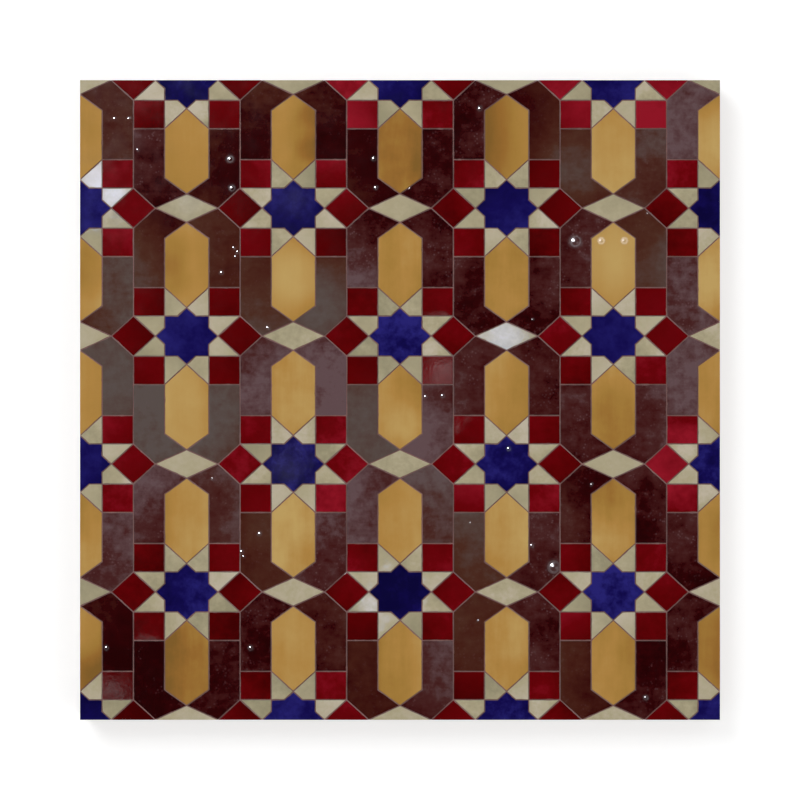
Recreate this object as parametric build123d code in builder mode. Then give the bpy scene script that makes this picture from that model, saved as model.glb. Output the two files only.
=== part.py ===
from build123d import *
import os
from math import sqrt

# A square panel of zellige: hand-cut glazed tesserae laid in a pattern of
# eight-pointed stars and cast into one mortar bed, then trimmed square.
# It lies on its back, glazed faces up, with its origin under its middle.

# Driving dimensions, in millimetres, with outlines taken to the middle of each joint
square_width = 14.9  # the square tessera across the panel, and the star's reach to each side
square_length = 13.56  # the same tessera up the panel, and the star's reach up and down
hexagon_length = 40.68  # long hexagon, tip to tip
hexagon_blunt_point = 7.6  # height of the hexagon's flatter point, which meets the lozenge
lozenge_length = 13.56  # lozenge, up the panel
columns = 6  # half repeats across the panel
rows = 5  # half repeats up the panel
joint_width = 0.8
joint_depth = 0.5  # mortar surface below the glazed faces
tessera_thickness = 11.0
side_taper = 8.0  # degrees that each side is chiselled back from its glazed face
backing_thickness = 7.0  # mortar under the tesserae

# The star is two crossed squares, one upright and one on its corner
corner_x = square_width / sqrt(2)
corner_y = square_length / sqrt(2)
notch_x = square_width - corner_x
notch_y = square_length - corner_y

# Half a repeat runs from a star to the nearest lozenge of its row or column
half_repeat_x = 2 * (corner_x + square_width)
half_repeat_y = square_length + hexagon_length + lozenge_length / 2
panel_width = columns * half_repeat_x
panel_length = rows * half_repeat_y
face_height = backing_thickness + tessera_thickness


# Places on the lattice


def lattice(first, trims):
    """Centres of every second crossing, where the panel's edges cut through `trims` ways."""
    places = []
    for column in range(columns + 1):
        for row in range(rows + 1):
            on_edges = (column in (0, columns)) + (row in (0, rows))
            if (column + row) % 2 == first and on_edges in trims:
                x = (column - columns / 2) * half_repeat_x
                y = (row - rows / 2) * half_repeat_y
                places.append((x, y))
    return places


def stars_where(trims=(0, 1, 2)):
    return lattice(0, trims)


def lozenges_where(trims):
    return lattice(1, trims)


def on_side_edge(place):
    return abs(place[0]) > panel_width / 2 - half_repeat_x / 2


def on_end_edge(place):
    return abs(place[1]) > panel_length / 2 - half_repeat_y / 2


star_places = stars_where()
inner_column_stars = [place for place in star_places if not on_side_edge(place)]
side_column_stars = [place for place in star_places if on_side_edge(place)]
inner_row_stars = [place for place in star_places if not on_end_edge(place)]
end_row_stars = [place for place in star_places if on_end_edge(place)]


# Making a tessera and laying a family of them


def cut_tessera(outline):
    """One tessera: its outline less half a joint, with its sides chiselled back."""
    with BuildPart() as tessera:
        with BuildSketch(Plane.XY.offset(face_height)):
            with BuildLine():
                Polyline(*outline, close=True)
            make_face()
            offset(amount=-joint_width / 2, kind=Kind.INTERSECTION)
        extrude(amount=-tessera_thickness)
        sides = tessera.faces().filter_by(Axis.Z, reverse=True)
        draft(sides, neutral_plane=Plane.XY.offset(face_height), angle=-side_taper)
    return tessera.part


def lay(name, pieces, places):
    """Repeats the pieces at the places, and trims what crosses the panel's edges."""
    with BuildPart() as family:
        with Locations(*places):
            add(pieces)
        add(panel_block.part, mode=Mode.INTERSECT)
    family.part.label = name
    return family.part


with BuildPart() as panel_block:
    with BuildSketch():
        Rectangle(panel_width, panel_length)
    extrude(amount=face_height)


# Eight-pointed star

star_quarter = [
    (square_width, 0),
    (corner_x, notch_y),
    (corner_x, corner_y),
    (notch_x, corner_y),
]
star_outline = []
for turn_x, turn_y, swapped in ((1, 1, 0), (-1, 1, 1), (-1, -1, 0), (1, -1, 1)):
    points = [(turn_x * x, turn_y * y) for x, y in star_quarter]
    tip = (0, turn_y * square_length)
    star_outline += [tip] + points[:0:-1] if swapped else points
star = cut_tessera(star_outline)


# Square that meets each upright corner of the star

with BuildPart() as square_ring:
    left, right = corner_x, corner_x + square_width
    bottom, top = corner_y, corner_y + square_length
    add(cut_tessera([(left, bottom), (right, bottom), (right, top), (left, top)]))
    mirror(about=Plane.YZ)
    mirror(about=Plane.XZ)


# Square set on its corner, at the star's left and right tips

with BuildPart() as diamond_pair:
    near, middle = square_width, square_width + corner_x
    far = square_width + 2 * corner_x
    add(cut_tessera([(near, 0), (middle, -corner_y), (far, 0), (middle, corner_y)]))
    mirror(about=Plane.YZ)


# Kite in each notch of the star, of which four point sideways and four along the panel

with BuildPart() as kite_ring:
    sideways = [
        (corner_x, notch_y),
        (square_width, 0),
        (corner_x + square_width, corner_y),
        (corner_x, corner_y),
    ]
    lengthways = [
        (notch_x, corner_y),
        (corner_x, corner_y),
        (corner_x, corner_y + square_length),
        (0, square_length),
    ]
    add(cut_tessera(sideways))
    add(cut_tessera(lengthways))
    mirror(about=Plane.YZ)
    mirror(about=Plane.XZ)


# Long hexagon from the star's upper and lower tips to the next lozenge

shoulder_y = corner_y + square_length
blunt_tip_y = square_length + hexagon_length
blunt_shoulder_y = blunt_tip_y - hexagon_blunt_point

with BuildPart() as hexagon_pair:
    hexagon_outline = [
        (0, square_length),
        (corner_x, shoulder_y),
        (corner_x, blunt_shoulder_y),
        (0, blunt_tip_y),
        (-corner_x, blunt_shoulder_y),
        (-corner_x, shoulder_y),
    ]
    add(cut_tessera(hexagon_outline))
    mirror(about=Plane.XZ)


# Bent arm that runs from a square, along the hexagon, to the lozenge's side

with BuildPart() as arm_ring:
    arm_outline = [
        (corner_x, shoulder_y),
        (corner_x + square_width, shoulder_y),
        (corner_x + square_width, half_repeat_y - corner_y),
        (square_width, half_repeat_y),
        (0, blunt_tip_y),
        (corner_x, blunt_shoulder_y),
    ]
    add(cut_tessera(arm_outline))
    mirror(about=Plane.YZ)
    mirror(about=Plane.XZ)


# Lozenge between the points of two hexagons

half_lozenge = lozenge_length / 2
lozenge_outline = [(square_width, 0), (0, half_lozenge), (-square_width, 0), (0, -half_lozenge)]
lozenge = cut_tessera(lozenge_outline)


# The families of like tesserae, with those that the panel's edges cut kept apart

families = [
    lay("blue_stars", star, stars_where(trims=(0,))),
    lay("blue_half_stars", star, stars_where(trims=(1,))),
    lay("blue_quarter_stars", star, stars_where(trims=(2,))),
    lay("ivory_lozenges", lozenge, lozenges_where(trims=(0,))),
    lay("ivory_half_lozenges", lozenge, lozenges_where(trims=(1,))),
    lay("ivory_quarter_lozenges", lozenge, lozenges_where(trims=(2,))),
    lay("ivory_kites", kite_ring.part, star_places),
    lay("red_squares", square_ring.part, star_places),
    lay("red_diamonds", diamond_pair.part, inner_row_stars),
    lay("red_half_diamonds", diamond_pair.part, end_row_stars),
    lay("amber_hexagons", hexagon_pair.part, inner_column_stars),
    lay("amber_half_hexagons", hexagon_pair.part, side_column_stars),
    lay("maroon_arms", arm_ring.part, star_places),
]


# Mortar bed, cast round the tesserae so that it fills every joint from behind

with BuildPart() as mortar_bed:
    with BuildSketch():
        Rectangle(panel_width, panel_length)
    extrude(amount=face_height - joint_depth)
    add(families, mode=Mode.SUBTRACT)
mortar_bed.part.label = "mortar_bed"


os.makedirs("parts", exist_ok=True)
for piece in families + [mortar_bed.part]:
    export_step(piece, f"parts/{piece.label}.step")
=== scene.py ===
"""Dresses a square panel of zellige in its glazes and lights it, seen from straight above."""

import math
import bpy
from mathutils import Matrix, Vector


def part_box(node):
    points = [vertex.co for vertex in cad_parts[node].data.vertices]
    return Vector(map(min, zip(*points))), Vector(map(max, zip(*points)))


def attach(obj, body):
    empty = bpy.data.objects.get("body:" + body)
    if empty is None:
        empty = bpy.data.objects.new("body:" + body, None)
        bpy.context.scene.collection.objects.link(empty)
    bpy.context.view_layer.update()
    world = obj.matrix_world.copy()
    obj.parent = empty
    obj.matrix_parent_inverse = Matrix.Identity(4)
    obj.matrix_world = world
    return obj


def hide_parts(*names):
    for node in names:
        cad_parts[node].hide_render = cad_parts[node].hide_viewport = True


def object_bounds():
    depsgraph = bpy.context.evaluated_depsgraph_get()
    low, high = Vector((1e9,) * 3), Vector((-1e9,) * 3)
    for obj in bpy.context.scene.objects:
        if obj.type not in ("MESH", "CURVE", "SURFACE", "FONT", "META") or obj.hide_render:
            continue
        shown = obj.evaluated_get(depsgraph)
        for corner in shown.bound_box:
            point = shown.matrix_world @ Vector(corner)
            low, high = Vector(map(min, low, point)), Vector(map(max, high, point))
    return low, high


bl_info = {
    "name": "Zellige Star Panel",
    "version": (1, 0, 0),
    "blender": (4, 5, 0),
    "location": "View3D > Sidebar > Zellige",
    "description": "Lays the glazed tesserae of a star pattern in their mortar bed and lights the panel",
    "category": "Add Mesh",
}

import bmesh
import bpy
from bpy.props import FloatProperty, FloatVectorProperty, IntProperty, PointerProperty
from mathutils import Vector
from mathutils.geometry import delaunay_2d_cdt

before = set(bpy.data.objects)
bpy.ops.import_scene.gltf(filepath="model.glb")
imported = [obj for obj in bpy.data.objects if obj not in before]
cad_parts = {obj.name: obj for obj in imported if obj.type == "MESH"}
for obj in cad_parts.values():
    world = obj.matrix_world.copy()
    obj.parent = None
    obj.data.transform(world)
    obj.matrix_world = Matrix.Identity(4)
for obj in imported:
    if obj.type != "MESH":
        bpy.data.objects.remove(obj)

# The panel's sizes, in metres, read from the frame

CAD_LOW, CAD_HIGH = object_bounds()
PANEL_WIDTH = CAD_HIGH.x - CAD_LOW.x
PANEL_LENGTH = CAD_HIGH.y - CAD_LOW.y
FACE_HEIGHT = CAD_HIGH.z
MORTAR_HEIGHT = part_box("mortar_bed")[1].z
FOOT_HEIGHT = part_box("maroon_arms")[0].z
HALF_REPEATS_ACROSS = 6
HALF_REPEATS_UP = 5
HALF_REPEAT_X = PANEL_WIDTH / HALF_REPEATS_ACROSS
HALF_REPEAT_Y = PANEL_LENGTH / HALF_REPEATS_UP
# Half a repeat is two squares and the diagonal of one across, and four and a half squares up
SQUARES_LENGTHWAYS = 4.5
SQUARE_WIDTH = HALF_REPEAT_X / (2 + math.sqrt(2))
SQUARE_LENGTH = HALF_REPEAT_Y / SQUARES_LENGTHWAYS
MM = 0.001
HEXAGON_BLUNT_POINT = 7.6 * MM

# The photograph's frame, in pixels

PHOTO_WIDTH = 800
PHOTO_MIDDLE = 400
PHOTO_PANEL = 640

# Places named by a pixel of the photograph

# Where a glaze is paler or darker, or where painted sheen or painted shade lies on it: pixel, reach in
# pixels, and how much paler
# The paler patches round pixels (150, 400), (330, 400), (437, 262) and (437, 455) are painted sheen: a grey
# reflection lying over the arms there.
ARM_TONE_AND_SHEEN_PATCHES = (
    (150, 400, 140, 0.46), (330, 400, 160, 0.52), (690, 105, 95, 0.5), (670, 300, 120, 0.22),
    (350, 270, 80, 0.22), (450, 550, 110, 0.13), (690, 395, 80, 0.25), (115, 260, 80, 0.2),
    (130, 525, 90, 0.25), (450, 660, 70, 0.25), (350, 520, 70, 0.2), (575, 165, 50, 0.3),
    (400, 130, 170, -0.3), (540, 130, 60, -0.05), (240, 160, 70, -0.32), (460, 265, 80, -0.32),
    (130, 680, 110, -0.36), (280, 670, 110, -0.22), (650, 590, 180, -0.3), (437, 455, 75, 0.42),
    (437, 262, 50, 0.42), (331, 292, 50, 0.2), (685, 370, 50, 0.16), (682, 528, 45, 0.22),
    (153, 225, 50, -0.22), (540, 335, 50, -0.18), (580, 488, 40, -0.18), (326, 590, 50, -0.12),
    (255, 525, 40, 0.18), (575, 530, 35, 0.22), (682, 265, 40, 0.16), (686, 616, 45, 0.2),
    (651, 397, 35, -0.2), (260, 104, 40, -0.12),
)
# The paler patches are partly a paler glaze and partly painted sheen, a pinkish haze lying over those
# squares.
CRIMSON_TONE_AND_SHEEN_PATCHES = (
    (350, 105, 115, 0.4), (650, 105, 110, 0.4), (565, 95, 60, 0.2), (335, 460, 75, 0.32),
    (250, 440, 50, 0.18), (680, 465, 80, 0.34), (187, 330, 115, -0.3), (235, 610, 110, -0.28),
    (620, 715, 110, -0.28), (130, 720, 60, -0.2), (544, 250, 60, -0.15),
)
# The darker patches at pixels (170, 250), (170, 280), (313, 115) and (313, 148) are painted shade: a darker
# band down one side of a hexagon.
HONEY_TONE_AND_SHADE_PATCHES = (
    (240, 400, 130, 0.26), (290, 530, 70, 0.15), (300, 270, 65, 0.15), (665, 205, 140, 0.22),
    (510, 530, 60, 0.12), (437, 145, 110, -0.5), (130, 660, 110, -0.5), (720, 650, 80, -0.42),
    (80, 140, 70, -0.2), (613, 422, 64, -0.3), (608, 494, 50, -0.32), (710, 540, 60, -0.3),
    (170, 250, 30, -0.35), (170, 280, 30, -0.35), (90, 265, 45, -0.35), (313, 115, 24, -0.35),
    (313, 148, 24, -0.35), (303, 276, 50, 0.45), (710, 285, 45, 0.4), (710, 140, 50, 0.45),
    (408, 424, 35, 0.35), (86, 628, 50, 0.55), (606, 534, 36, 0.2), (520, 635, 40, 0.25),
    (306, 515, 40, 0.25), (95, 515, 45, -0.25), (600, 265, 45, 0.2),
)
STAR_PATCHES = (
    (400, 592, 60, -0.6), (400, 336, 60, 0.32), (613, 592, 60, 0.25), (187, 592, 60, -0.15),
    (507, 208, 60, 0.1),
)
# The paler patch at pixel (368, 604) is painted highlight, on a kite that also shines under a glint lamp.
IVORY_TONE_AND_HIGHLIGHT_PATCHES = (
    (200, 109, 22, 0.7), (173, 109, 22, 0.6), (155, 92, 22, 0.5), (707, 493, 22, 0.65),
    (432, 348, 22, 0.55), (688, 452, 22, 0.55), (368, 604, 20, 0.4), (93, 435, 22, -0.55),
    (368, 324, 22, -0.55), (520, 493, 22, -0.55), (200, 365, 22, -0.5), (475, 452, 22, -0.45),
    (112, 476, 22, -0.45), (325, 452, 22, -0.45),
)
# Blisters in the glaze: the pixel where each shines, and its width in millimetres
ARM_BLISTERS = (
    (229, 158, 2.5), (231, 187, 2.2), (221, 272, 1.5), (114, 118, 0.9), (128, 118, 0.9),
    (137, 149, 0.8), (442, 395, 1.8), (425, 396, 1.5), (259, 533, 1.8), (106, 647, 1.8),
    (250, 647, 2.0), (531, 545, 1.8), (645, 697, 2.0), (573, 240, 4.4), (552, 565, 4.8),
    (233, 247, 0.9), (237, 251, 1.2), (235, 256, 0.9), (241, 551, 1.8), (243, 556, 1.1),
    (373, 158, 1.8), (375, 187, 1.6), (479, 108, 1.8), (647, 213, 1.0), (409, 188, 0.8),
    (532, 319, 0.9), (212, 478, 1.0), (591, 484, 1.2), (470, 522, 0.8), (478, 620, 1.0),
    (267, 327, 1.2),
)
STAR_BLISTERS = ((508, 448, 1.8),)
HEXAGON_BLISTERS = ((600, 240, 2.2), (623, 240, 2.2))
# Tesserae that lie level and shine under a small lamp: piece, pixel, and the lamp's width in
# metres, brightness and colour
DAYLIGHT = (0.5, 0.62, 1.0)
LAMPLIGHT = (1.0, 1.0, 1.0)
GLINTS = (
    ("ivory_kites_glazed", 91, 176, 0.040, 10, DAYLIGHT),
    ("ivory_kites_glazed", 110, 193, 0.034, 15, DAYLIGHT),
    ("ivory_kites_glazed", 374, 606, 0.030, 8, DAYLIGHT),
    ("ivory_lozenges_glazed", 501, 337, 0.052, 9.5, DAYLIGHT),
    ("ivory_lozenges_glazed", 188, 199, 0.026, 3, DAYLIGHT),
    ("crimson_squares", 445, 377, 0.040, 2.0, LAMPLIGHT),
    ("crimson_squares", 112, 693, 0.026, 1.7, LAMPLIGHT),
    ("cobalt_stars", 293, 199, 0.030, 0.45, LAMPLIGHT),
    ("cobalt_stars", 290, 466, 0.040, 0.5, LAMPLIGHT),
)
# Pixels of tesserae that lie level and don't shine, though others beside them do
LEVEL_PLACES = ((112, 221),)

# Where the lamps hang, in metres from the panel's middle on the floor

KEY_PLACE = (-0.95, 1.1, 1.5)
FILL_PLACE = (1.3, -0.6, 1.4)
SPARKLE_PLACE = (-0.62, 0.62, 1.35)
GLINT_HEIGHT = 1.3

# Sizes and colours that a user would change


def number_property(name, description, value, **kind):
    return FloatProperty(name=name, description=description, default=value, **kind)


def length_property(name, description, millimetres):
    return number_property(name, description, millimetres * MM, unit="LENGTH", precision=5)


def angle_property(name, description, degrees):
    return number_property(name, description, math.radians(degrees), subtype="ANGLE")


def colour_property(name, description, colour):
    return FloatVectorProperty(
        name=name, description=description, default=colour, subtype="COLOR", size=3, min=0, max=1
    )


class ZelligeCutting(bpy.types.PropertyGroup):
    """How the tesserae are chiselled and laid."""

    joint: length_property("Joint", "Width of a joint in the mortar", 0.8)
    brim: length_property("Brim", "How far a glazed face stands out over the joint", 0.13)
    taper: angle_property("Taper", "How far the sides are chiselled back", 8)
    arris: length_property("Arris", "Width of the rounded edge of a glazed face", 0.1)
    wander: length_property("Wander", "How far a cut edge strays from its line", 0.07)
    chips: length_property("Chips", "Depth of the chips along the edges", 0.12)
    tilt: angle_property("Tilt", "Largest slope at which a small tessera is laid", 0.7)
    lift: length_property("Lift", "How far one face stands above another", 0.12)
    ripple: length_property("Ripple", "Height of the waves in a glazed face", 0.11)
    ripple_size: length_property("Ripple Size", "Length of the waves in a glazed face", 14)
    mesh_size: length_property("Mesh Size", "Size of the triangles in a glazed face", 1.25)
    seed: IntProperty(name="Seed", description="Changes every random choice", default=7)


class ZelligeGlazes(bpy.types.PropertyGroup):
    """Colours of the glazes, the clay and the mortar, as linear light."""

    cobalt: colour_property("Cobalt", "Glaze of the stars", (0.0070, 0.0040, 0.0820))
    ivory: colour_property("Ivory", "Glaze of the kites and lozenges", (0.455, 0.395, 0.255))
    crimson: colour_property("Crimson", "Glaze of the squares", (0.130, 0.0006, 0.0020))
    honey: colour_property("Honey", "Glaze of the hexagons", (0.450, 0.245, 0.062))
    oxblood: colour_property("Oxblood", "Darkest glaze of the arms", (0.0330, 0.0010, 0.0018))
    umber: colour_property("Umber", "Brown glaze of the arms", (0.0800, 0.0270, 0.0160))
    plum: colour_property("Plum", "Purple glaze of the arms", (0.0730, 0.0205, 0.0195))
    mauve: colour_property("Mauve", "Palest glaze of the purple arms", (0.1340, 0.0790, 0.0850))
    # This colour is partly painted sheen: it greys the palest brown arms as a reflection of the room would.
    slate_and_sheen: colour_property("Slate", "Palest glaze of the brown arms", (0.1100, 0.0840, 0.0760))
    clay: colour_property("Clay", "Fired clay under the glaze", (0.520, 0.340, 0.215))
    mortar: colour_property("Mortar", "Mortar of the bed", (0.350, 0.310, 0.290))
    slip: colour_property("Slip", "Tinted slip rubbed into the joints", (0.240, 0.108, 0.094))


class ZelligeStage(bpy.types.PropertyGroup):
    """Camera and light."""

    lens: number_property("Lens", "Focal length of the camera", 100, unit="CAMERA")
    key_power: number_property("Key", "Power of the large lamp", 14, unit="POWER")
    fill_power: number_property("Fill", "Power of the second lamp", 7, unit="POWER")
    sparkle_power: number_property("Sparkle", "Power of the lamp in the blisters", 170, unit="POWER")
    sky: number_property("Sky", "Strength of the light from all round", 0.55)


def cutting():
    return bpy.context.scene.zellige_cutting


def glazes():
    return bpy.context.scene.zellige_glazes


def stage_settings():
    return bpy.context.scene.zellige_stage


def panel_place(pixel_x, pixel_y, height=FACE_HEIGHT):
    """The point of the panel that lies at a pixel of the photograph."""
    return Vector((
        (pixel_x - PHOTO_MIDDLE) / PHOTO_PANEL * PANEL_WIDTH,
        (PHOTO_MIDDLE - pixel_y) / PHOTO_PANEL * PANEL_LENGTH,
        height,
    ))


# The pattern's outlines round one star, anticlockwise, to the middle of each joint

CORNER_X = SQUARE_WIDTH / math.sqrt(2)
CORNER_Y = SQUARE_LENGTH / math.sqrt(2)
NOTCH_X = SQUARE_WIDTH - CORNER_X
NOTCH_Y = SQUARE_LENGTH - CORNER_Y
SHOULDER_Y = CORNER_Y + SQUARE_LENGTH
BLUNT_TIP_Y = HALF_REPEAT_Y - SQUARE_LENGTH / 2
BLUNT_SHOULDER_Y = BLUNT_TIP_Y - HEXAGON_BLUNT_POINT
OUTER_X = CORNER_X + SQUARE_WIDTH


def mirrored(outlines, across, lengthways):
    """The outlines as they stand, and again on the other side of the star's axes."""
    turns = [(x, y) for x in ((1, -1) if across else (1,)) for y in ((1, -1) if lengthways else (1,))]
    ring = []
    for x, y in turns:
        for outline in outlines:
            corners = [Vector((corner[0] * x, corner[1] * y)) for corner in outline]
            ring.append(corners if x * y > 0 else corners[::-1])
    return ring


def star_outlines():
    quarter = ((SQUARE_WIDTH, 0), (CORNER_X, NOTCH_Y), (CORNER_X, CORNER_Y), (NOTCH_X, CORNER_Y))
    outline = []
    for x, y, swapped in ((1, 1, False), (-1, 1, True), (-1, -1, False), (1, -1, True)):
        corners = [Vector((corner[0] * x, corner[1] * y)) for corner in quarter]
        tip = Vector((0, y * SQUARE_LENGTH))
        outline += [tip] + corners[:0:-1] if swapped else corners
    return [outline]


def kite_outlines():
    sideways = ((CORNER_X, NOTCH_Y), (SQUARE_WIDTH, 0), (OUTER_X, CORNER_Y), (CORNER_X, CORNER_Y))
    upright = ((NOTCH_X, CORNER_Y), (CORNER_X, CORNER_Y), (CORNER_X, SHOULDER_Y), (0, SQUARE_LENGTH))
    return mirrored((sideways, upright), across=True, lengthways=True)


def square_outlines():
    square = ((CORNER_X, CORNER_Y), (OUTER_X, CORNER_Y), (OUTER_X, SHOULDER_Y), (CORNER_X, SHOULDER_Y))
    return mirrored((square,), across=True, lengthways=True)


def diamond_outlines():
    diamond = (
        (SQUARE_WIDTH, 0), (OUTER_X, -CORNER_Y), (SQUARE_WIDTH + 2 * CORNER_X, 0), (OUTER_X, CORNER_Y),
    )
    return mirrored((diamond,), across=True, lengthways=False)


def hexagon_outlines():
    hexagon = (
        (0, SQUARE_LENGTH), (CORNER_X, SHOULDER_Y), (CORNER_X, BLUNT_SHOULDER_Y),
        (0, BLUNT_TIP_Y), (-CORNER_X, BLUNT_SHOULDER_Y), (-CORNER_X, SHOULDER_Y),
    )
    return mirrored((hexagon,), across=False, lengthways=True)


def arm_outlines():
    arm = (
        (CORNER_X, SHOULDER_Y), (OUTER_X, SHOULDER_Y), (OUTER_X, HALF_REPEAT_Y - CORNER_Y),
        (SQUARE_WIDTH, HALF_REPEAT_Y), (0, BLUNT_TIP_Y), (CORNER_X, BLUNT_SHOULDER_Y),
    )
    return mirrored((arm,), across=True, lengthways=True)


def lozenge_outlines():
    lozenge = (
        (SQUARE_WIDTH, 0), (0, SQUARE_LENGTH / 2), (-SQUARE_WIDTH, 0), (0, -SQUARE_LENGTH / 2),
    )
    return mirrored((lozenge,), across=False, lengthways=False)


def crossings(first):
    """Every second crossing of the lattice: the stars from 0, the lozenges from 1."""
    return [
        Vector(((column - HALF_REPEATS_ACROSS / 2) * HALF_REPEAT_X,
                (row - HALF_REPEATS_UP / 2) * HALF_REPEAT_Y, 0))
        for column in range(HALF_REPEATS_ACROSS + 1)
        for row in range(HALF_REPEATS_UP + 1)
        if (column + row) % 2 == first
    ]


# One tessera: a glazed face on a fine mesh, a rounded arris, and sides that draw in towards the foot


def inset(outline, distance):
    """The outline with each side moved in by the distance."""
    moved = []
    for i, corner in enumerate(outline):
        before = (corner - outline[i - 1]).normalized()
        after = (outline[(i + 1) % len(outline)] - corner).normalized()
        inward_before = Vector((-before.y, before.x))
        inward_after = Vector((-after.y, after.x))
        reach = distance / (1 + inward_before.dot(inward_after))
        moved.append(corner + (inward_before + inward_after) * reach)
    return moved


def divided(outline, spacing):
    """The outline with points along its sides, and the place of each corner in the new list."""
    points, corner_places = [], []
    for i, corner in enumerate(outline):
        following = outline[(i + 1) % len(outline)]
        parts = max(1, round((following - corner).length / spacing))
        corner_places.append(len(points))
        points += [corner.lerp(following, part / parts) for part in range(parts)]
    return points, corner_places


def edge_distance(point, outline):
    """How far a point lies from the nearest side."""
    nearest = math.inf
    for i, end in enumerate(outline):
        start = outline[i - 1]
        along = end - start
        share = max(0, min(1, (point - start).dot(along) / along.length_squared))
        nearest = min(nearest, (point - start - along * share).length)
    return nearest


def is_inside(point, outline):
    """Whether a line drawn sideways from the point crosses the outline an odd number of times."""
    inside = False
    for i, end in enumerate(outline):
        start = outline[i - 1]
        if (start.y > point.y) != (end.y > point.y):
            crossing = start.x + (point.y - start.y) / (end.y - start.y) * (end.x - start.x)
            inside ^= point.x < crossing
    return inside


def inner_points(outline, spacing):
    """Points in staggered rows over the glazed face, clear of its edge."""
    row_step = spacing * math.sqrt(3) / 2
    clearance = 0.55 * spacing
    low = Vector((min(p.x for p in outline), min(p.y for p in outline)))
    high = Vector((max(p.x for p in outline), max(p.y for p in outline)))
    points = []
    for row in range(int((high.y - low.y) / row_step) + 1):
        for place in range(int((high.x - low.x) / spacing) + 2):
            point = low + Vector(((place - row % 2 / 2) * spacing, row * row_step))
            if is_inside(point, outline) and edge_distance(point, outline) > clearance:
                points.append(point)
    return points


class RingMesh:
    """Collects the tesserae of one family round a star, with what the laying tree reads of each point."""

    def __init__(self, sizes):
        self.sizes = sizes
        self.points, self.faces = [], []
        self.hearts, self.inwards, self.rims, self.pieces = [], [], [], []

    def add_points(self, flat_points, height, heart, piece, rims, inwards=None):
        first = len(self.points)
        for i, point in enumerate(flat_points):
            self.points.append((point.x, point.y, height))
            self.hearts += (heart.x, heart.y, 0)
            self.pieces.append(piece)
            self.rims.append(rims[i] if isinstance(rims, list) else rims)
            inward = inwards[i] if inwards else Vector((0, 0))
            self.inwards += (inward.x, inward.y, 0)
        return first

    def add_tessera(self, outline, piece):
        sizes = self.sizes
        slope = math.tan(sizes.taper)
        arris_drop = 0.8 * sizes.arris
        corners = inset(outline, sizes.joint / 2)
        cut, corner_places = divided(corners, sizes.mesh_size)
        arris = inset(cut, -sizes.brim)
        face = inset(arris, sizes.arris)
        waist = inset(cut, (FACE_HEIGHT - MORTAR_HEIGHT) * slope)
        foot = inset(corners, (FACE_HEIGHT - FOOT_HEIGHT) * slope)
        inwards = [(b - a).normalized() for a, b in zip(arris, face)]
        heart = sum(corners, Vector((0, 0))) / len(corners)
        middle = inner_points(face, sizes.mesh_size)

        count = len(arris)
        face_first = self.add_points(face, FACE_HEIGHT, heart, piece, sizes.arris, inwards)
        middle_rims = [sizes.arris + edge_distance(point, face) for point in middle]
        self.add_points(middle, FACE_HEIGHT, heart, piece, middle_rims)
        arris_first = self.add_points(arris, FACE_HEIGHT - arris_drop, heart, piece, 0.0, inwards)
        waist_first = self.add_points(waist, MORTAR_HEIGHT, heart, piece, 0.0)
        foot_first = self.add_points(foot, FOOT_HEIGHT, heart, piece, 0.0)

        keep_inside, tolerance = 1, 1e-9
        found = delaunay_2d_cdt(face + middle, [], [list(range(count))], keep_inside, tolerance)
        triangles, sources = found[2:4]
        for triangle in triangles:
            self.faces.append([face_first + sources[corner][0] for corner in triangle])
        for i in range(count):
            j = (i + 1) % count
            self.faces.append([arris_first + i, arris_first + j, face_first + j, face_first + i])
            self.faces.append([waist_first + i, waist_first + j, arris_first + j, arris_first + i])
        for i, start in enumerate(corner_places):
            end = corner_places[(i + 1) % len(corners)] or count
            along = [waist_first + place % count for place in range(start, end + 1)]
            self.faces.append([foot_first + i, foot_first + (i + 1) % len(corners)] + along[::-1])
        self.faces.append([foot_first + i for i in range(len(corners))][::-1])

    def as_object(self, name):
        mesh = bpy.data.meshes.new(name)
        mesh.from_pydata(self.points, [], self.faces)
        for attribute, kind, values in (
            ("heart", "FLOAT_VECTOR", self.hearts), ("inward", "FLOAT_VECTOR", self.inwards),
            ("rim", "FLOAT", self.rims), ("piece", "INT", self.pieces),
        ):
            set_attribute(mesh, attribute, kind, values)
        return linked(bpy.data.objects.new(name, mesh))


def set_attribute(mesh, name, kind, numbers):
    """Stores the numbers on the mesh's points, three to a point where the kind is a vector."""
    data = mesh.attributes.new(name, kind, "POINT").data
    data.foreach_set("vector" if kind == "FLOAT_VECTOR" else "value", numbers)


def linked(thing):
    bpy.context.scene.collection.objects.link(thing)
    return thing


def blister_places(name, blisters):
    """Loose points where blisters sit, with the size of each and how steep it is. Each is just
    steep enough, where its pixel lies, to mirror the lamp to the camera."""
    steepest_at = 1 / math.sqrt(3)  # as a share of the way from a blister's middle to its edge
    steepest = 8 * steepest_at * (1 - steepest_at**2)  # slope there of a blister of unit size
    spare = 1.1  # a little steeper than that, as the face under it is wavy
    eye = Vector((0, 0, FACE_HEIGHT + camera_distance()))
    middles, sizes, slopes = [], [], []
    for pixel_x, pixel_y, width in blisters:
        shining = panel_place(pixel_x, pixel_y)
        halfway = (Vector(SPARKLE_PLACE) - shining).normalized() + (eye - shining).normalized()
        lean = halfway.xy / halfway.z
        width *= MM
        middles.append(shining - (lean.normalized() * width / 2 * steepest_at).to_3d())
        sizes += [width, width, width * lean.length * spare / steepest]
        slopes.append(lean.length)
    mesh = bpy.data.meshes.new(name)
    mesh.from_pydata([tuple(middle) for middle in middles], [], [])
    set_attribute(mesh, "size", "FLOAT_VECTOR", sizes)
    set_attribute(mesh, "slope", "FLOAT", slopes)
    return linked(bpy.data.objects.new(name, mesh))


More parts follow.
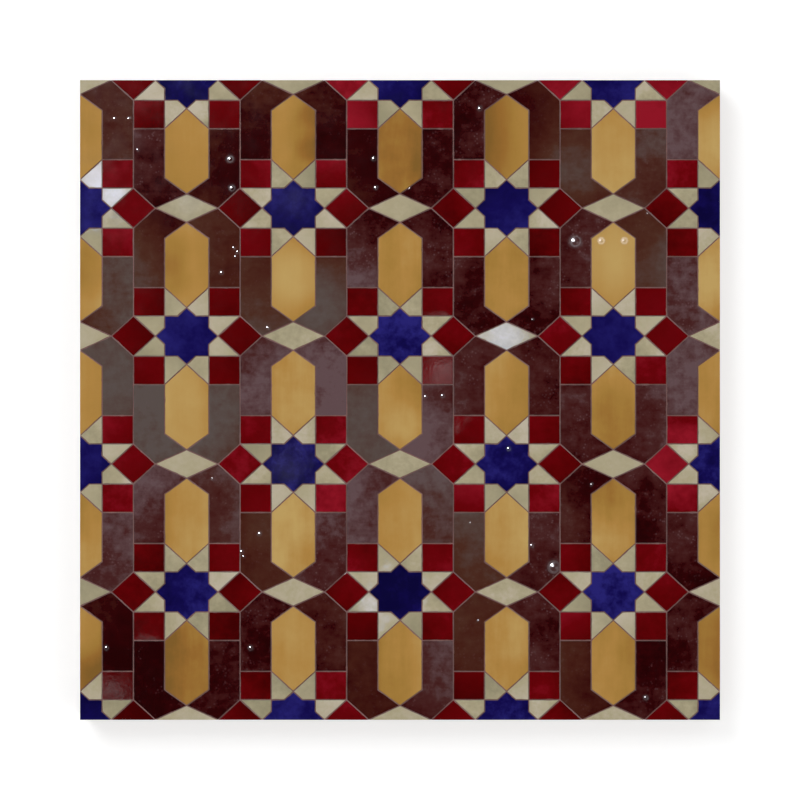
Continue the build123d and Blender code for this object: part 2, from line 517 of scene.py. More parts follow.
def blister_shape():
    """A round blister of unit width and height that glaze leaves over a bubble."""
    rings, around = 7, 16
    sunk = 0.05  # how far its rim lies in the glaze
    mesh = bpy.data.meshes.new("blister shape")
    points = [(0, 0, 1)]
    for ring in range(1, rings + 1):
        reach = ring / rings
        height = (1 - reach**2) ** 2 - sunk * reach
        for step in range(around):
            angle = math.tau * step / around
            points.append((reach / 2 * math.cos(angle), reach / 2 * math.sin(angle), height))
    faces = [(0, 1 + step, 1 + (step + 1) % around) for step in range(around)]
    for ring in range(rings - 1):
        inner, outer = 1 + ring * around, 1 + (ring + 1) * around
        for step in range(around):
            following = (step + 1) % around
            faces.append((inner + step, outer + step, outer + following, inner + following))
    last = 1 + (rings - 1) * around
    faces.append([last + step for step in range(around)][::-1])
    mesh.from_pydata(points, [], faces)
    return linked(bpy.data.objects.new("blister shape", mesh))


# Node trees


def add_node(tree, kind, inputs=(), **settings):
    """Adds a node, and fills its inputs with values or with other nodes' outputs."""
    node = tree.nodes.new(kind)
    for name, value in settings.items():
        setattr(node, name, value)
    for name, value in dict(inputs).items():
        if isinstance(name, int):
            socket = node.inputs[name]
        else:
            socket = next(s for s in node.inputs if s.name == name and s.enabled)
        if isinstance(value, bpy.types.NodeSocket):
            tree.links.new(value, socket)
        else:
            socket.default_value = value
    return node


def output(node, name=None):
    return next(s for s in node.outputs if s.enabled and name in (None, s.name))


class Builder:
    """Short words for the nodes that both the laying tree and the glazes use."""

    def __init__(self, tree):
        self.tree = tree

    def node(self, kind, inputs=(), **settings):
        return add_node(self.tree, kind, inputs, **settings)

    def out(self, kind, inputs=(), socket=None, **settings):
        return output(self.node(kind, inputs, **settings), socket)

    def math(self, operation, *values):
        return self.out("ShaderNodeMath", dict(enumerate(values)), operation=operation)

    def plus(self, a, b):
        return self.math("ADD", a, b)

    def times(self, a, b):
        return self.math("MULTIPLY", a, b)

    def vector(self, operation, *values):
        if operation == "SCALE":
            return self.out("ShaderNodeVectorMath", {0: values[0], "Scale": values[1]}, operation=operation)
        return self.out("ShaderNodeVectorMath", dict(enumerate(values)), operation=operation)

    def distance(self, a, b):
        return self.out("ShaderNodeVectorMath", {0: a, 1: b}, "Value", operation="DISTANCE")

    def dot(self, a, b):
        return self.out("ShaderNodeVectorMath", {0: a, 1: b}, "Value", operation="DOT_PRODUCT")

    def noise(self, place, size, detail=2.0, roughness=0.5):
        """A cloud of numbers about one half, whose lumps are about as wide as the size."""
        scale = self.math("DIVIDE", 1.0, size) if isinstance(size, bpy.types.NodeSocket) else 1 / size
        inputs = {"Vector": place, "Scale": scale, "Detail": detail, "Roughness": roughness}
        return output(self.node("ShaderNodeTexNoise", inputs))

    def ramped(self, value, low, high, to_low=0.0, to_high=1.0):
        """A smooth step from one number to another as the value goes from low to high."""
        inputs = {"Value": value, "From Min": low, "From Max": high, "To Min": to_low, "To Max": to_high}
        return self.out("ShaderNodeMapRange", inputs, interpolation_type="SMOOTHSTEP")

    def colours(self, value, stops):
        """The colour that the stops, each a place from 0 to 1 and a colour, give the value."""
        ramp = self.node("ShaderNodeValToRGB", {0: value})
        elements = ramp.color_ramp.elements
        elements.remove(elements[1])
        for i, (place, colour) in enumerate(stops):
            element = elements.new(place) if i else elements[0]
            element.position = place
            element.color = (*colour, 1)
        return output(ramp, "Color")

    def mixed(self, share, first, second, kind="RGBA"):
        """The first colour or number where the share is 0, and the second where it is 1."""
        inputs = {"Factor": share, "A": first, "B": second}
        return self.out("ShaderNodeMix", inputs, "Result", data_type=kind)

    def centred(self, value, height):
        """Turns a number about one half into one about nothing, of the given height."""
        return self.times(self.math("SUBTRACT", value, 0.5), height)

    def part(self, vector, axis):
        return self.out("ShaderNodeSeparateXYZ", {0: vector}, axis)

    def bump(self, height, depth, **under):
        """The surface's normal where the height, of the given depth, is raised on it."""
        return self.out("ShaderNodeBump", {"Height": height, "Distance": depth, "Strength": 1.0, **under})


def emptied_tree(owner):
    """A builder for the node tree of a material or of the world, with nothing in it yet."""
    owner.use_nodes = True
    owner.node_tree.nodes.clear()
    return Builder(owner.node_tree)


def laying_tree(patches):
    """The tree that lays a ring of tesserae at every point, each a little out of true."""
    tree = bpy.data.node_groups.new("Lay tesserae", "GeometryNodeTree")
    named = {
        "Geometry": ("Crossings",), "Object": ("Ring", "Blisters", "Blister Shape"),
        "Material": ("Glaze",), "Int": ("Seed",), "Vector": ("Gradient",),
        "Float": ("Tilt", "Lift", "Ripple", "Ripple Size", "Wander", "Chips", "Tone", "Tone Spread"),
    }
    for kind, names in named.items():
        for name in names:
            tree.interface.new_socket(name, in_out="INPUT", socket_type="NodeSocket" + kind)
    tree.interface.new_socket("Tesserae", in_out="OUTPUT", socket_type="NodeSocketGeometry")
    b = Builder(tree)
    given = b.node("NodeGroupInput").outputs
    position = b.out("GeometryNodeInputPosition")

    def object_mesh(name):
        return b.out("GeometryNodeObjectInfo", {"Object": given[name]}, "Geometry")

    def attribute(name, kind):
        return b.out("GeometryNodeInputNamedAttribute", {"Name": name}, "Attribute", data_type=kind)

    def stored(geometry, name, kind, value, domain="POINT"):
        inputs = {"Geometry": geometry, "Name": name, "Value": value}
        return b.out("GeometryNodeStoreNamedAttribute", inputs, "Geometry", data_type=kind, domain=domain)

    def sampled(geometry, name, kind, index):
        """What another mesh holds by that name at its point of the given index."""
        inputs = {"Geometry": geometry, "Value": attribute(name, kind), "Index": index}
        return b.out("GeometryNodeSampleIndex", inputs, data_type=kind, domain="POINT")

    def away_from(pixel_x, pixel_y, place):
        """How far a place lies from a pixel's, seen from above."""
        return b.distance(b.vector("MULTIPLY", place, (1, 1, 0)), tuple(panel_place(pixel_x, pixel_y, 0)))

    def chance(number, low, high, tessera):
        """A random number for each tessera. The number tells this draw from the others."""
        seed = b.plus(given["Seed"], number)
        inputs = {"Min": low, "Max": high, "ID": tessera, "Seed": seed}
        return b.out("FunctionNodeRandomValue", inputs, "Value", data_type="FLOAT")

    rings = b.out(
        "GeometryNodeInstanceOnPoints", {"Points": given["Crossings"], "Instance": object_mesh("Ring")}
    )
    rings = stored(rings, "crossing", "FLOAT_VECTOR", position, "INSTANCE")
    rings = stored(rings, "number", "INT", b.out("GeometryNodeInputIndex"), "INSTANCE")
    laid = b.out("GeometryNodeRealizeInstances", {"Geometry": rings})

    most_in_ring = 16
    ring_number = b.times(attribute("number", "INT"), most_in_ring)
    tessera = b.plus(ring_number, attribute("piece", "INT"))
    heart = b.vector("ADD", attribute("crossing", "FLOAT_VECTOR"), attribute("heart", "FLOAT_VECTOR"))
    laid = stored(laid, "heart", "FLOAT_VECTOR", heart)
    laid = stored(laid, "tessera", "FLOAT", tessera)
    heart = attribute("heart", "FLOAT_VECTOR")
    tessera = attribute("tessera", "FLOAT")

    # A tessera leans, and stands a little low or high, above where the mortar holds it
    loose_above = FACE_HEIGHT - 0.3 * MM
    height = b.part(position, "Z")
    upper = b.ramped(height, MORTAR_HEIGHT, loose_above)
    one_way = b.times(chance(1, -1.0, 1.0, tessera), given["Tilt"])
    other_way = b.times(chance(2, -1.0, 1.0, tessera), given["Tilt"])
    slope = b.out("ShaderNodeCombineXYZ", {0: one_way, 1: other_way})
    level_within, leaning_from = 5 * MM, 7 * MM
    uneven = 1.0
    for pixel_x, pixel_y in [glint[1:3] for glint in GLINTS] + list(LEVEL_PLACES):
        away = away_from(pixel_x, pixel_y, heart)
        uneven = b.times(uneven, b.ramped(away, level_within, leaning_from))
    slope = b.vector("SCALE", slope, uneven)
    leaning = b.dot(b.vector("SUBTRACT", position, heart), slope)
    lowest, highest = -1.0, 0.3  # as shares of the lift
    lifted = b.times(chance(3, lowest, highest, tessera), given["Lift"])

    # Its glazed face is wavy, and falls away a little towards the arris
    drift = b.out("ShaderNodeCombineXYZ", {i: chance(4 + i, -1.0, 1.0, tessera) for i in range(3)})
    waves_at = b.vector("ADD", position, drift)
    level_ripple = 0.3  # a level tessera has this share of the waves, and the others one more
    wave = b.noise(waves_at, given["Ripple Size"], detail=1.0)
    rippled = b.centred(wave, b.times(given["Ripple"], b.plus(uneven, level_ripple)))
    sag, sag_reach = 0.02 * MM, 2.2 * MM
    sagging = b.times(uneven, b.ramped(attribute("rim", "FLOAT"), 0.0, sag_reach, -sag, 0.0))
    rise = b.plus(b.plus(leaning, lifted), b.plus(rippled, sagging))

    # Its cut edge wanders, and is chipped here and there
    wander_length, chip_length = 5 * MM, 2.2 * MM
    whole_below, chipped_above = 0.66, 0.74
    noise_span = 4.0  # as the noise mostly strays a quarter to each side of one half
    wander = b.centred(b.noise(waves_at, wander_length), b.times(given["Wander"], noise_span))
    chipped = b.ramped(b.noise(waves_at, chip_length, detail=0.0), whole_below, chipped_above)
    chip = b.times(chipped, given["Chips"])
    inward = attribute("inward", "FLOAT_VECTOR")
    sideways = b.vector("SCALE", inward, b.plus(wander, chip))
    moved = b.vector("ADD", sideways, b.out("ShaderNodeCombineXYZ", {2: rise}))
    moved = b.vector("SCALE", moved, upper)

    # What the glaze reads: its tone, paler or darker in the named patches, some of which are painted sheen
    # or painted shade, and its own mottling
    patch = 0.0
    full_within = 0.2  # as a share of a patch's reach
    for pixel_x, pixel_y, reach, paler in patches:
        away = away_from(pixel_x, pixel_y, position)
        reach *= PANEL_WIDTH / PHOTO_PANEL
        patch = b.plus(patch, b.ramped(away, reach * full_within, reach, paler, 0.0))
    spread = b.times(chance(8, -1.0, 1.0, tessera), given["Tone Spread"])
    slant = b.out("ShaderNodeCombineXYZ", {i: chance(10 + i, -1.0, 1.0, tessera) for i in range(2)})
    slanting = b.dot(b.vector("SUBTRACT", position, heart), b.vector("MULTIPLY", slant, given["Gradient"]))
    tone = b.plus(b.plus(given["Tone"], patch), b.plus(spread, slanting))
    laid = stored(laid, "tone", "FLOAT", tone)
    laid = stored(laid, "drift", "FLOAT_VECTOR", drift)
    laid = stored(laid, "luck", "FLOAT", chance(9, 0.0, 1.0, tessera))

    # The glaze is hazy round a blister
    dots = object_mesh("Blisters")
    nearest = b.out("GeometryNodeSampleNearest", {"Geometry": dots, "Sample Position": position})
    size = sampled(dots, "size", "FLOAT_VECTOR", nearest)
    hair = 0.001 * MM  # keeps the width above nothing where a family has no blisters
    width = b.plus(b.part(size, "X"), hair)
    away = b.distance(position, sampled(dots, "position", "FLOAT_VECTOR", nearest))
    hazy_within, clear_from = 0.3, 1.1  # in blister's widths from its middle
    near = b.ramped(b.math("DIVIDE", away, width), hazy_within, clear_from, 1.0, 0.0)
    dot_slope = sampled(dots, "slope", "FLOAT", nearest)
    laid = stored(laid, "haze", "FLOAT", b.times(near, dot_slope))
    laid = b.out("GeometryNodeSetPosition", {"Geometry": laid, "Offset": moved})

    # Blisters in the glaze, which take their place and colour from the tessera they are on
    seat = b.out(
        "GeometryNodeSampleNearestSurface",
        {"Mesh": laid, "Value": position, "Sample Position": position}, "Value", data_type="FLOAT_VECTOR",
    )
    dots = b.out("GeometryNodeSetPosition", {"Geometry": dots, "Position": seat})
    blisters = b.out(
        "GeometryNodeInstanceOnPoints",
        {"Points": dots, "Instance": object_mesh("Blister Shape"),
         "Scale": attribute("size", "FLOAT_VECTOR")},
    )
    blisters = b.out("GeometryNodeRealizeInstances", {"Geometry": blisters})
    own_haze = 0.6  # as a share of the haze round it
    blisters = stored(blisters, "haze", "FLOAT", b.times(attribute("slope", "FLOAT"), own_haze))
    under = b.out("GeometryNodeSampleNearest", {"Geometry": laid, "Sample Position": position})
    for name, kind in (("tone", "FLOAT"), ("luck", "FLOAT"), ("drift", "FLOAT_VECTOR")):
        blisters = stored(blisters, name, kind, sampled(laid, name, kind, under))
    both = b.node("GeometryNodeJoinGeometry")
    tree.links.new(laid, both.inputs[0])
    tree.links.new(blisters, both.inputs[0])
    smooth = b.out("GeometryNodeSetShadeSmooth", {"Geometry": both.outputs[0], "Shade Smooth": True})
    done = b.out("GeometryNodeSetMaterial", {"Geometry": smooth, "Material": given["Glaze"]})
    b.node("NodeGroupOutput", {"Tesserae": done})
    return tree


def trimmed(mesh):
    """Saws off what crosses the panel's edges, and closes each cut."""
    touching = 1e-7
    sharp_from = math.radians(20)
    work = bmesh.new()
    work.from_mesh(mesh)
    for normal in (Vector((1, 0, 0)), Vector((-1, 0, 0)), Vector((0, 1, 0)), Vector((0, -1, 0))):
        reach = Vector((normal.x * PANEL_WIDTH / 2, normal.y * PANEL_LENGTH / 2, 0))
        everything = work.verts[:] + work.edges[:] + work.faces[:]
        cut = bmesh.ops.bisect_plane(
            work, geom=everything, dist=touching, plane_co=reach, plane_no=normal, clear_outer=True
        )
        edges = [edge for edge in cut["geom_cut"] if isinstance(edge, bmesh.types.BMEdge)]
        if edges:
            for face in bmesh.ops.holes_fill(work, edges=edges)["faces"]:
                face.smooth = False
    bmesh.ops.triangulate(work, faces=[face for face in work.faces if len(face.verts) > 4])
    work.to_mesh(mesh)
    work.free()
    mesh.set_sharp_from_angle(angle=sharp_from)
    return mesh


def lay_family(
    name, outlines, places, glaze, nodes,
    tone, tone_spread, gradient, tilt=1.0, patches=(), blisters=(),
):
    """Cuts a ring of tesserae, lays it at its places, and puts it in the frame for its CAD nodes.
    The gradient is how much the tone changes over a centimetre of a tessera, across and lengthways."""
    sizes = cutting()
    ring = RingMesh(sizes)
    for piece, outline in enumerate(outlines):
        ring.add_tessera(outline, piece)
    ring_object = ring.as_object(name + " ring")
    family_mesh = bpy.data.meshes.new(name)
    family_mesh.from_pydata([tuple(place) for place in places], [], [])
    family = linked(bpy.data.objects.new(name, family_mesh))
    dots = blister_places(name + " blisters", blisters)
    shape = blister_shape()
    modifier = family.modifiers.new("Lay tesserae", "NODES")
    modifier.node_group = laying_tree(patches)
    values = {
        "Ring": ring_object, "Glaze": glaze, "Blisters": dots, "Blister Shape": shape,
        "Seed": sizes.seed, "Tilt": math.tan(sizes.tilt) * tilt,
        "Lift": sizes.lift, "Ripple": sizes.ripple, "Ripple Size": sizes.ripple_size,
        "Wander": sizes.wander, "Chips": sizes.chips, "Tone": tone, "Tone Spread": tone_spread,
        "Gradient": (gradient[0] / (10 * MM), gradient[1] / (10 * MM), 0),
    }
    for item in modifier.node_group.interface.items_tree:
        if item.name in values:
            modifier[item.identifier] = values[item.name]
    bpy.context.view_layer.update()
    evaluated = family.evaluated_get(bpy.context.evaluated_depsgraph_get())
    laid = bpy.data.meshes.new_from_object(evaluated)
    family.modifiers.clear()
    family.data = trimmed(laid)
    for helper in (ring_object, dots, shape):
        bpy.data.objects.remove(helper)
    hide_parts(*nodes)
    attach(family, "root")
    return family


# Glazes


def glaze_material(name, stops, clouds, other_stops=(), speckle=0.0, roughness=0.055, haziness=1.0):
    """A hand-brushed glaze over clay. The stops give its colours from dark to pale, and the other
    stops those of some tesserae. The clouds that mottle it are each a width and a length, in
    millimetres, and a strength. The haziness is how much rougher it is round a blister."""
    material = bpy.data.materials.new(name)
    b = emptied_tree(material)

    def laid(name, socket="Fac"):
        return b.out("ShaderNodeAttribute", socket=socket, attribute_name=name)

    coordinates = b.out("ShaderNodeTexCoord", socket="Object")
    place = b.vector("ADD", coordinates, laid("drift", "Vector"))
    tone, luck = laid("tone"), laid("luck")
    calmest, liveliest = 0.55, 1.45
    mottled = b.ramped(luck, 0.1, 0.9, calmest, liveliest)
    for width, length, strength in clouds:
        width, length = width * MM, length * MM
        stretched = b.vector("MULTIPLY", place, (1 / width, 1 / length, 1 / width))
        cloud = b.centred(b.noise(stretched, 1.0, detail=4.0, roughness=0.6), strength)
        tone = b.plus(tone, b.times(cloud, mottled))
    colour = b.colours(tone, stops)
    if other_stops:
        chosen = b.ramped(luck, 0.35, 0.65)
        colour = b.mixed(chosen, colour, b.colours(tone, other_stops))

    if speckle:
        speck_spacing, speck_radius = 1.7 * MM, 0.4  # the radius as a share of the spacing
        speck_colour = (0.17, 0.095, 0.105, 1)
        fewest = 0.3  # on the least speckled tesserae and on the darkest tones, as a share
        cells = b.node("ShaderNodeTexVoronoi", {"Vector": place, "Scale": 1 / speck_spacing})
        specks = b.ramped(cells.outputs["Distance"], 0.0, speck_radius, 1.0, 0.0)
        gathered = b.ramped(b.noise(place, 7 * MM, detail=1.0), 0.42, 0.66)
        by_luck = b.ramped(luck, 0.3, 0.8, fewest * speckle, speckle)
        strength = b.times(by_luck, b.ramped(tone, 0.0, 0.5, fewest))
        share = b.times(b.times(specks, gathered), strength)
        colour = b.mixed(share, colour, speck_colour)

    # Clay shows on the sides, below the line that the glaze has run down to
    glaze_ends, clay_begins = FACE_HEIGHT - 0.75 * MM, FACE_HEIGHT - 0.95 * MM
    height = b.part(coordinates, "Z")
    drip_length, drip_height = 3 * MM, 0.5 * MM
    drip = b.centred(b.noise(place, drip_length), drip_height)
    below = b.ramped(b.plus(height, drip), clay_begins, glaze_ends, 1.0, 0.0)
    grain_size, grain_depth = 0.9 * MM, 0.15 * MM
    grain = b.noise(coordinates, grain_size, detail=4.0, roughness=0.7)
    dark_clay, clay_roughness = scaled(glazes().clay, 0.7), 0.9
    clay = b.mixed(grain, (*dark_clay, 1), (*glazes().clay, 1))
    colour = b.mixed(below, colour, clay)

    # The shine is a little duller in places, hazy round a blister, and finely dimpled
    dullest = roughness * 1.6
    sheen = b.ramped(b.noise(place, 9 * MM), 0.35, 0.75, roughness, dullest)
    sheen = b.plus(sheen, b.times(laid("haze"), haziness))
    rough = b.mixed(below, sheen, clay_roughness, "FLOAT")

    dimple_size, dimple_depth = 1.6 * MM, 0.008 * MM
    dimples = b.bump(b.noise(place, dimple_size), dimple_depth)
    normal = b.bump(b.times(grain, below), grain_depth, Normal=dimples)
    surface = {"Base Color": colour, "Roughness": rough, "Normal": normal}
    shader = b.out("ShaderNodeBsdfPrincipled", surface)
    b.node("ShaderNodeOutputMaterial", {"Surface": shader})
    return material


def scaled(colour, *factors):
    """A colour with its channels multiplied, by one factor or by three."""
    factors = factors * 3 if len(factors) == 1 else factors
    return tuple(channel * factor for channel, factor in zip(colour, factors))


def cobalt_glaze():
    cobalt = glazes().cobalt
    stops = ((0.0, scaled(cobalt, 0.5)), (0.45, tuple(cobalt)), (1.0, scaled(cobalt, 3.2, 4.6, 2.2)))
    clouds = ((10, 10, 1.5), (3, 3, 0.7))
    return glaze_material("Cobalt glaze", stops, clouds)


def ivory_glaze():
    ivory = glazes().ivory
    stops = (
        (0.0, scaled(ivory, 0.72, 0.74, 0.72)), (0.5, tuple(ivory)), (1.0, scaled(ivory, 1.25, 1.26, 1.5)),
    )
    clouds = ((8, 8, 0.8), (2, 2, 0.3))
    return glaze_material("Ivory glaze", stops, clouds)


def crimson_glaze():
    crimson = glazes().crimson
    # The palest stop's pinkish tint is partly a paler glaze and partly painted sheen, a haze over the
    # palest squares.
    stops = (
        (0.0, scaled(crimson, 0.42, 0.3, 0.2)), (0.35, scaled(crimson, 0.85, 0.8, 0.7)),
        (0.6, scaled(crimson, 1.15, 1.5, 1.6)), (1.0, scaled(crimson, 2.3, 14.0, 10.0)),
    )
    clouds = ((12, 12, 0.6), (3, 3, 0.15))
    return glaze_material("Crimson glaze", stops, clouds)


def honey_glaze():
    honey = glazes().honey
    stops = (
        (0.0, scaled(honey, 0.54, 0.5, 0.42)), (0.2, scaled(honey, 0.75, 0.64, 0.52)),
        (0.4, scaled(honey, 0.9, 0.9, 0.76)), (0.6, scaled(honey, 1.06, 1.05, 1.02)),
        (1.0, scaled(honey, 1.28, 1.55, 2.1)),
    )
    clouds = ((11, 80, 0.5), (12, 12, 0.35))
    return glaze_material("Honey glaze", stops, clouds, haziness=2.5)


def oxblood_glaze():
    colours = glazes()
    dark = ((0.0, scaled(colours.oxblood, 0.6)), (0.2, tuple(colours.oxblood)))
    # The brown arms' palest stop is partly painted sheen, a grey reflection of the room.
    brown, purple = (
        ((0.42, scaled(middle, 0.8, 0.5, 0.5)), (0.62, tuple(middle)), (1.0, tuple(palest)))
        for middle, palest in ((colours.umber, colours.slate_and_sheen), (colours.plum, colours.mauve))
    )
    clouds = ((12, 12, 0.8), (3.5, 3.5, 0.5), (26, 2.5, 0.2))
    return glaze_material(
        "Oxblood glaze", dark + brown, clouds, other_stops=dark + purple, speckle=0.5
    )


def mortar_material():
    """Sandy mortar, a little darker where it is coarse, with slip on the surface of the joints."""
    material = bpy.data.materials.new("Mortar")
    b = emptied_tree(material)
    place = b.out("ShaderNodeTexCoord", socket="Object")
    sand_size, sand_depth, stain_size = 0.5 * MM, 0.2 * MM, 18 * MM
    sand = b.noise(place, sand_size, detail=4.0, roughness=0.7)
    stain = b.noise(place, stain_size, detail=3.0)
    darkest, lightest = 0.7, 1.15
    light = b.ramped(b.plus(sand, b.centred(stain, 0.8)), 0.25, 0.8, darkest, lightest)
    height = b.part(place, "Z")
    bare_below, slipped_above = MORTAR_HEIGHT - 0.6 * MM, MORTAR_HEIGHT - 0.1 * MM
    slipped = b.ramped(height, bare_below, slipped_above)
    colour = b.vector("SCALE", b.mixed(slipped, (*glazes().mortar, 1), (*glazes().slip, 1)), light)
    normal = b.bump(sand, sand_depth)
    surface = {"Base Color": colour, "Roughness": 0.93, "Specular IOR Level": 0.25, "Normal": normal}
    shader = b.out("ShaderNodeBsdfPrincipled", surface)
    b.node("ShaderNodeOutputMaterial", {"Surface": shader})
    return material


# Operators


class ZELLIGE_OT_stars(bpy.types.Operator):
    """Lays the eight-pointed stars"""

    bl_idname = "zellige.stars"
    bl_label = "Cobalt Stars"

    def execute(self, context):
        lay_family(
            "cobalt_stars", star_outlines(), crossings(first=0), cobalt_glaze(),
            ("blue_stars", "blue_half_stars", "blue_quarter_stars"),
            tone=0.45, tone_spread=0.2, gradient=(0.2, 0.2), tilt=0.7,
            patches=STAR_PATCHES, blisters=STAR_BLISTERS,
        )
        return {"FINISHED"}


class ZELLIGE_OT_ivory(bpy.types.Operator):
    """Lays the kites in the notches of the stars, and the lozenges between the hexagons"""

    bl_idname = "zellige.ivory"
    bl_label = "Ivory Kites and Lozenges"

    def execute(self, context):
        glaze = ivory_glaze()
        lay_family(
            "ivory_kites_glazed", kite_outlines(), crossings(first=0), glaze,
            ("ivory_kites",),
            tone=0.47, tone_spread=0.38, gradient=(0.3, 0.3), tilt=1.2, patches=IVORY_TONE_AND_HIGHLIGHT_PATCHES,
        )
        lay_family(
            "ivory_lozenges_glazed", lozenge_outlines(), crossings(first=1), glaze,
            ("ivory_lozenges", "ivory_half_lozenges", "ivory_quarter_lozenges"),
            tone=0.42, tone_spread=0.25, gradient=(0.12, 0.12), tilt=0.8,
        )
        return {"FINISHED"}


class ZELLIGE_OT_crimson(bpy.types.Operator):
    """Lays the squares at the corners of the stars, and those that stand on a corner beside them"""

    bl_idname = "zellige.crimson"
    bl_label = "Crimson Squares and Diamonds"

    def execute(self, context):
        glaze = crimson_glaze()
        lay_family(
            "crimson_squares", square_outlines(), crossings(first=0), glaze,
            ("red_squares",),
            tone=0.42, tone_spread=0.24, gradient=(0.2, 0.2), patches=CRIMSON_TONE_AND_SHEEN_PATCHES,
        )
        lay_family(
            "crimson_diamonds", diamond_outlines(), crossings(first=0), glaze,
            ("red_diamonds", "red_half_diamonds"),
            tone=0.4, tone_spread=0.18, gradient=(0.18, 0.18), patches=CRIMSON_TONE_AND_SHEEN_PATCHES,
        )
        return {"FINISHED"}


class ZELLIGE_OT_hexagons(bpy.types.Operator):
    """Lays the long hexagons"""

    bl_idname = "zellige.hexagons"
    bl_label = "Honey Hexagons"

    def execute(self, context):
        lay_family(
            "honey_hexagons", hexagon_outlines(), crossings(first=0), honey_glaze(),
            ("amber_hexagons", "amber_half_hexagons"),
            tone=0.52, tone_spread=0.16, gradient=(0.2, 0.04), tilt=0.5,
            patches=HONEY_TONE_AND_SHADE_PATCHES, blisters=HEXAGON_BLISTERS,
        )
        return {"FINISHED"}


class ZELLIGE_OT_arms(bpy.types.Operator):
    """Lays the bent arms that run between the hexagons"""

    bl_idname = "zellige.arms"
    bl_label = "Oxblood Arms"

    def execute(self, context):
        lay_family(
            "oxblood_arms", arm_outlines(), crossings(first=0), oxblood_glaze(),
            ("maroon_arms",), tone=0.44, tone_spread=0.1, gradient=(0.1, 0.06),
            tilt=0.4, patches=ARM_TONE_AND_SHEEN_PATCHES, blisters=ARM_BLISTERS,
        )
        return {"FINISHED"}


class ZELLIGE_OT_mortar(bpy.types.Operator):
    """Gives the mortar bed its finish"""

    bl_idname = "zellige.mortar"
    bl_label = "Mortar Bed"

    def execute(self, context):
        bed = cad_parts["mortar_bed"]
        bed.data.materials.clear()
        bed.data.materials.append(mortar_material())
        return {"FINISHED"}


class ZELLIGE_OT_stage(bpy.types.Operator):
    """Sets the camera straight above, the floor and the lamps"""

    bl_idname = "zellige.stage"
    bl_label = "Stage"

    def execute(self, context):
        make_camera()
        make_floor()
        make_world()
        make_lamps()
        context.scene.view_settings.view_transform = "Standard"
        return {"FINISHED"}


# Stage


def camera_distance():
    """How far above the glazed faces the camera sees them at the photograph's scale."""
    field = PANEL_WIDTH * PHOTO_WIDTH / PHOTO_PANEL
    sensor = 36  # width in millimetres, as Blender's cameras have
    return stage_settings().lens * field / sensor


def make_camera():
    camera = bpy.data.cameras.new("Camera")
    camera.lens = stage_settings().lens
    camera.clip_end = 20
    stand = linked(bpy.data.objects.new("Camera", camera))
    stand.location = (0, 0, FACE_HEIGHT + camera_distance())
    bpy.context.scene.camera = stand


def make_floor():
    """A white floor that keeps the panel's shadow."""
    mesh = bpy.data.meshes.new("floor")
    reach = 3.0
    corners = [(-reach, -reach, 0), (reach, -reach, 0), (reach, reach, 0), (-reach, reach, 0)]
    mesh.from_pydata(corners, [], [(0, 1, 2, 3)])
    floor = linked(bpy.data.objects.new("floor", mesh))
    material = bpy.data.materials.new("White floor")
    b = emptied_tree(material)
    paint = b.out("ShaderNodeBsdfDiffuse", {"Color": (0.8, 0.8, 0.8, 1)})
    whitening = 0.4
    seen = b.out("ShaderNodeLightPath", socket="Is Camera Ray")
    strength = b.times(seen, whitening)
    glow = b.out("ShaderNodeEmission", {"Color": (1, 1, 1, 1), "Strength": strength})
    both = b.out("ShaderNodeAddShader", {0: paint, 1: glow})
    b.node("ShaderNodeOutputMaterial", {"Surface": both})
    mesh.materials.append(material)


def make_world():
    """White to the camera, and to glossy rays light at the sides and dark overhead."""
    world = bpy.data.worlds.new("Studio")
    bpy.context.scene.world = world
    b = emptied_tree(world)
    direction = b.out("ShaderNodeTexCoord", socket="Generated")
    up = b.part(direction, "Z")
    sides_end, overhead_begins = 0.3, 0.9
    side_light, overhead_light = 0.9, 0.01
    room = b.ramped(up, sides_end, overhead_begins, side_light, overhead_light)
    path = b.node("ShaderNodeLightPath")
    diffuse_or_glossy = b.mixed(path.outputs["Is Glossy Ray"], stage_settings().sky, room, "FLOAT")
    strength = b.mixed(path.outputs["Is Camera Ray"], diffuse_or_glossy, 1.0, "FLOAT")
    background = b.out("ShaderNodeBackground", {"Color": (1, 1, 1, 1), "Strength": strength})
    b.node("ShaderNodeOutputWorld", {"Surface": background})


def add_lamp(name, place, target, size, power, colour=(1, 1, 1)):
    lamp = bpy.data.lights.new(name, "AREA")
    lamp.shape = "DISK"
    lamp.size = size
    lamp.energy = power
    lamp.color = colour
    stand = linked(bpy.data.objects.new(name, lamp))
    stand.location = place
    stand.rotation_euler = (Vector(target) - Vector(place)).to_track_quat("-Z", "Y").to_euler()
    stand.visible_camera = False
    return stand


def make_lamps():
    """Two large soft lamps, and small ones that only glossy glaze shows, for its glints."""
    settings = stage_settings()
    middle = (0, 0, 0)
    cool = (0.92, 0.95, 1)
    add_lamp("Key", KEY_PLACE, middle, size=1.1, power=settings.key_power)
    add_lamp("Fill", FILL_PLACE, middle, size=1.2, power=settings.fill_power)
    sparkle = add_lamp("Sparkle", SPARKLE_PLACE, middle, 0.42, settings.sparkle_power, cool)
    sparkle.visible_diffuse = False
    for name, pixel_x, pixel_y, width, brightness, colour in GLINTS:
        add_glint(name, panel_place(pixel_x, pixel_y), width, brightness, colour)


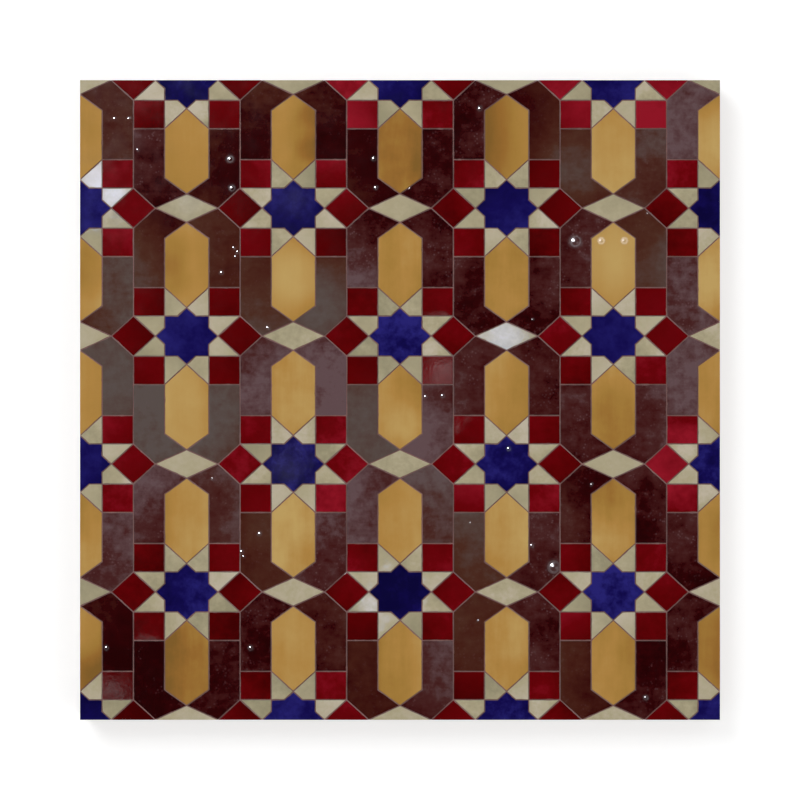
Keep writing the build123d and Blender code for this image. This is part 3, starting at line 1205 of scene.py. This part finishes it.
def add_glint(name, shining, width, brightness, colour):
    """A lamp where a level face at the place mirrors it to the camera, and that only that piece sees."""
    away = (GLINT_HEIGHT - FACE_HEIGHT) / camera_distance()
    place = (shining.x * (1 + away), shining.y * (1 + away), GLINT_HEIGHT)
    power = brightness * math.pi**2 * (width / 2) ** 2
    glint = add_lamp("Glint", place, shining, width, power, colour)
    glint.visible_diffuse = False
    piece = bpy.data.objects.get(name)
    if piece:
        receivers = bpy.data.collections.new("Glint on " + name)
        receivers.objects.link(piece)
        glint.light_linking.receiver_collection = receivers


class ZELLIGE_PT_panel(bpy.types.Panel):
    """Lists the zellige panel's pieces and their settings"""

    bl_label = "Zellige"
    bl_idname = "ZELLIGE_PT_panel"
    bl_space_type = "VIEW_3D"
    bl_region_type = "UI"
    bl_category = "Zellige"

    def draw(self, context):
        for settings in (cutting(), glazes(), stage_settings()):
            box = self.layout.box()
            for name in settings.bl_rna.properties.keys():
                if name not in ("name", "rna_type"):
                    box.prop(settings, name)
        for operator in OPERATORS:
            self.layout.operator(operator.bl_idname)


OPERATORS = (
    ZELLIGE_OT_mortar, ZELLIGE_OT_stars, ZELLIGE_OT_ivory, ZELLIGE_OT_crimson,
    ZELLIGE_OT_hexagons, ZELLIGE_OT_arms, ZELLIGE_OT_stage,
)
SETTINGS = (
    ("zellige_cutting", ZelligeCutting), ("zellige_glazes", ZelligeGlazes), ("zellige_stage", ZelligeStage),
)


def register():
    for name, group in SETTINGS:
        bpy.utils.register_class(group)
        setattr(bpy.types.Scene, name, PointerProperty(type=group))
    for each in (*OPERATORS, ZELLIGE_PT_panel):
        bpy.utils.register_class(each)


def unregister():
    for each in (ZELLIGE_PT_panel, *OPERATORS[::-1]):
        bpy.utils.unregister_class(each)
    for name, group in SETTINGS[::-1]:
        delattr(bpy.types.Scene, name)
        bpy.utils.unregister_class(group)


def main():
    register()
    bpy.ops.zellige.mortar()
    bpy.ops.zellige.stars()
    bpy.ops.zellige.ivory()
    bpy.ops.zellige.crimson()
    bpy.ops.zellige.hexagons()
    bpy.ops.zellige.arms()
    bpy.ops.zellige.stage()


if __name__ == "__main__":
    main()
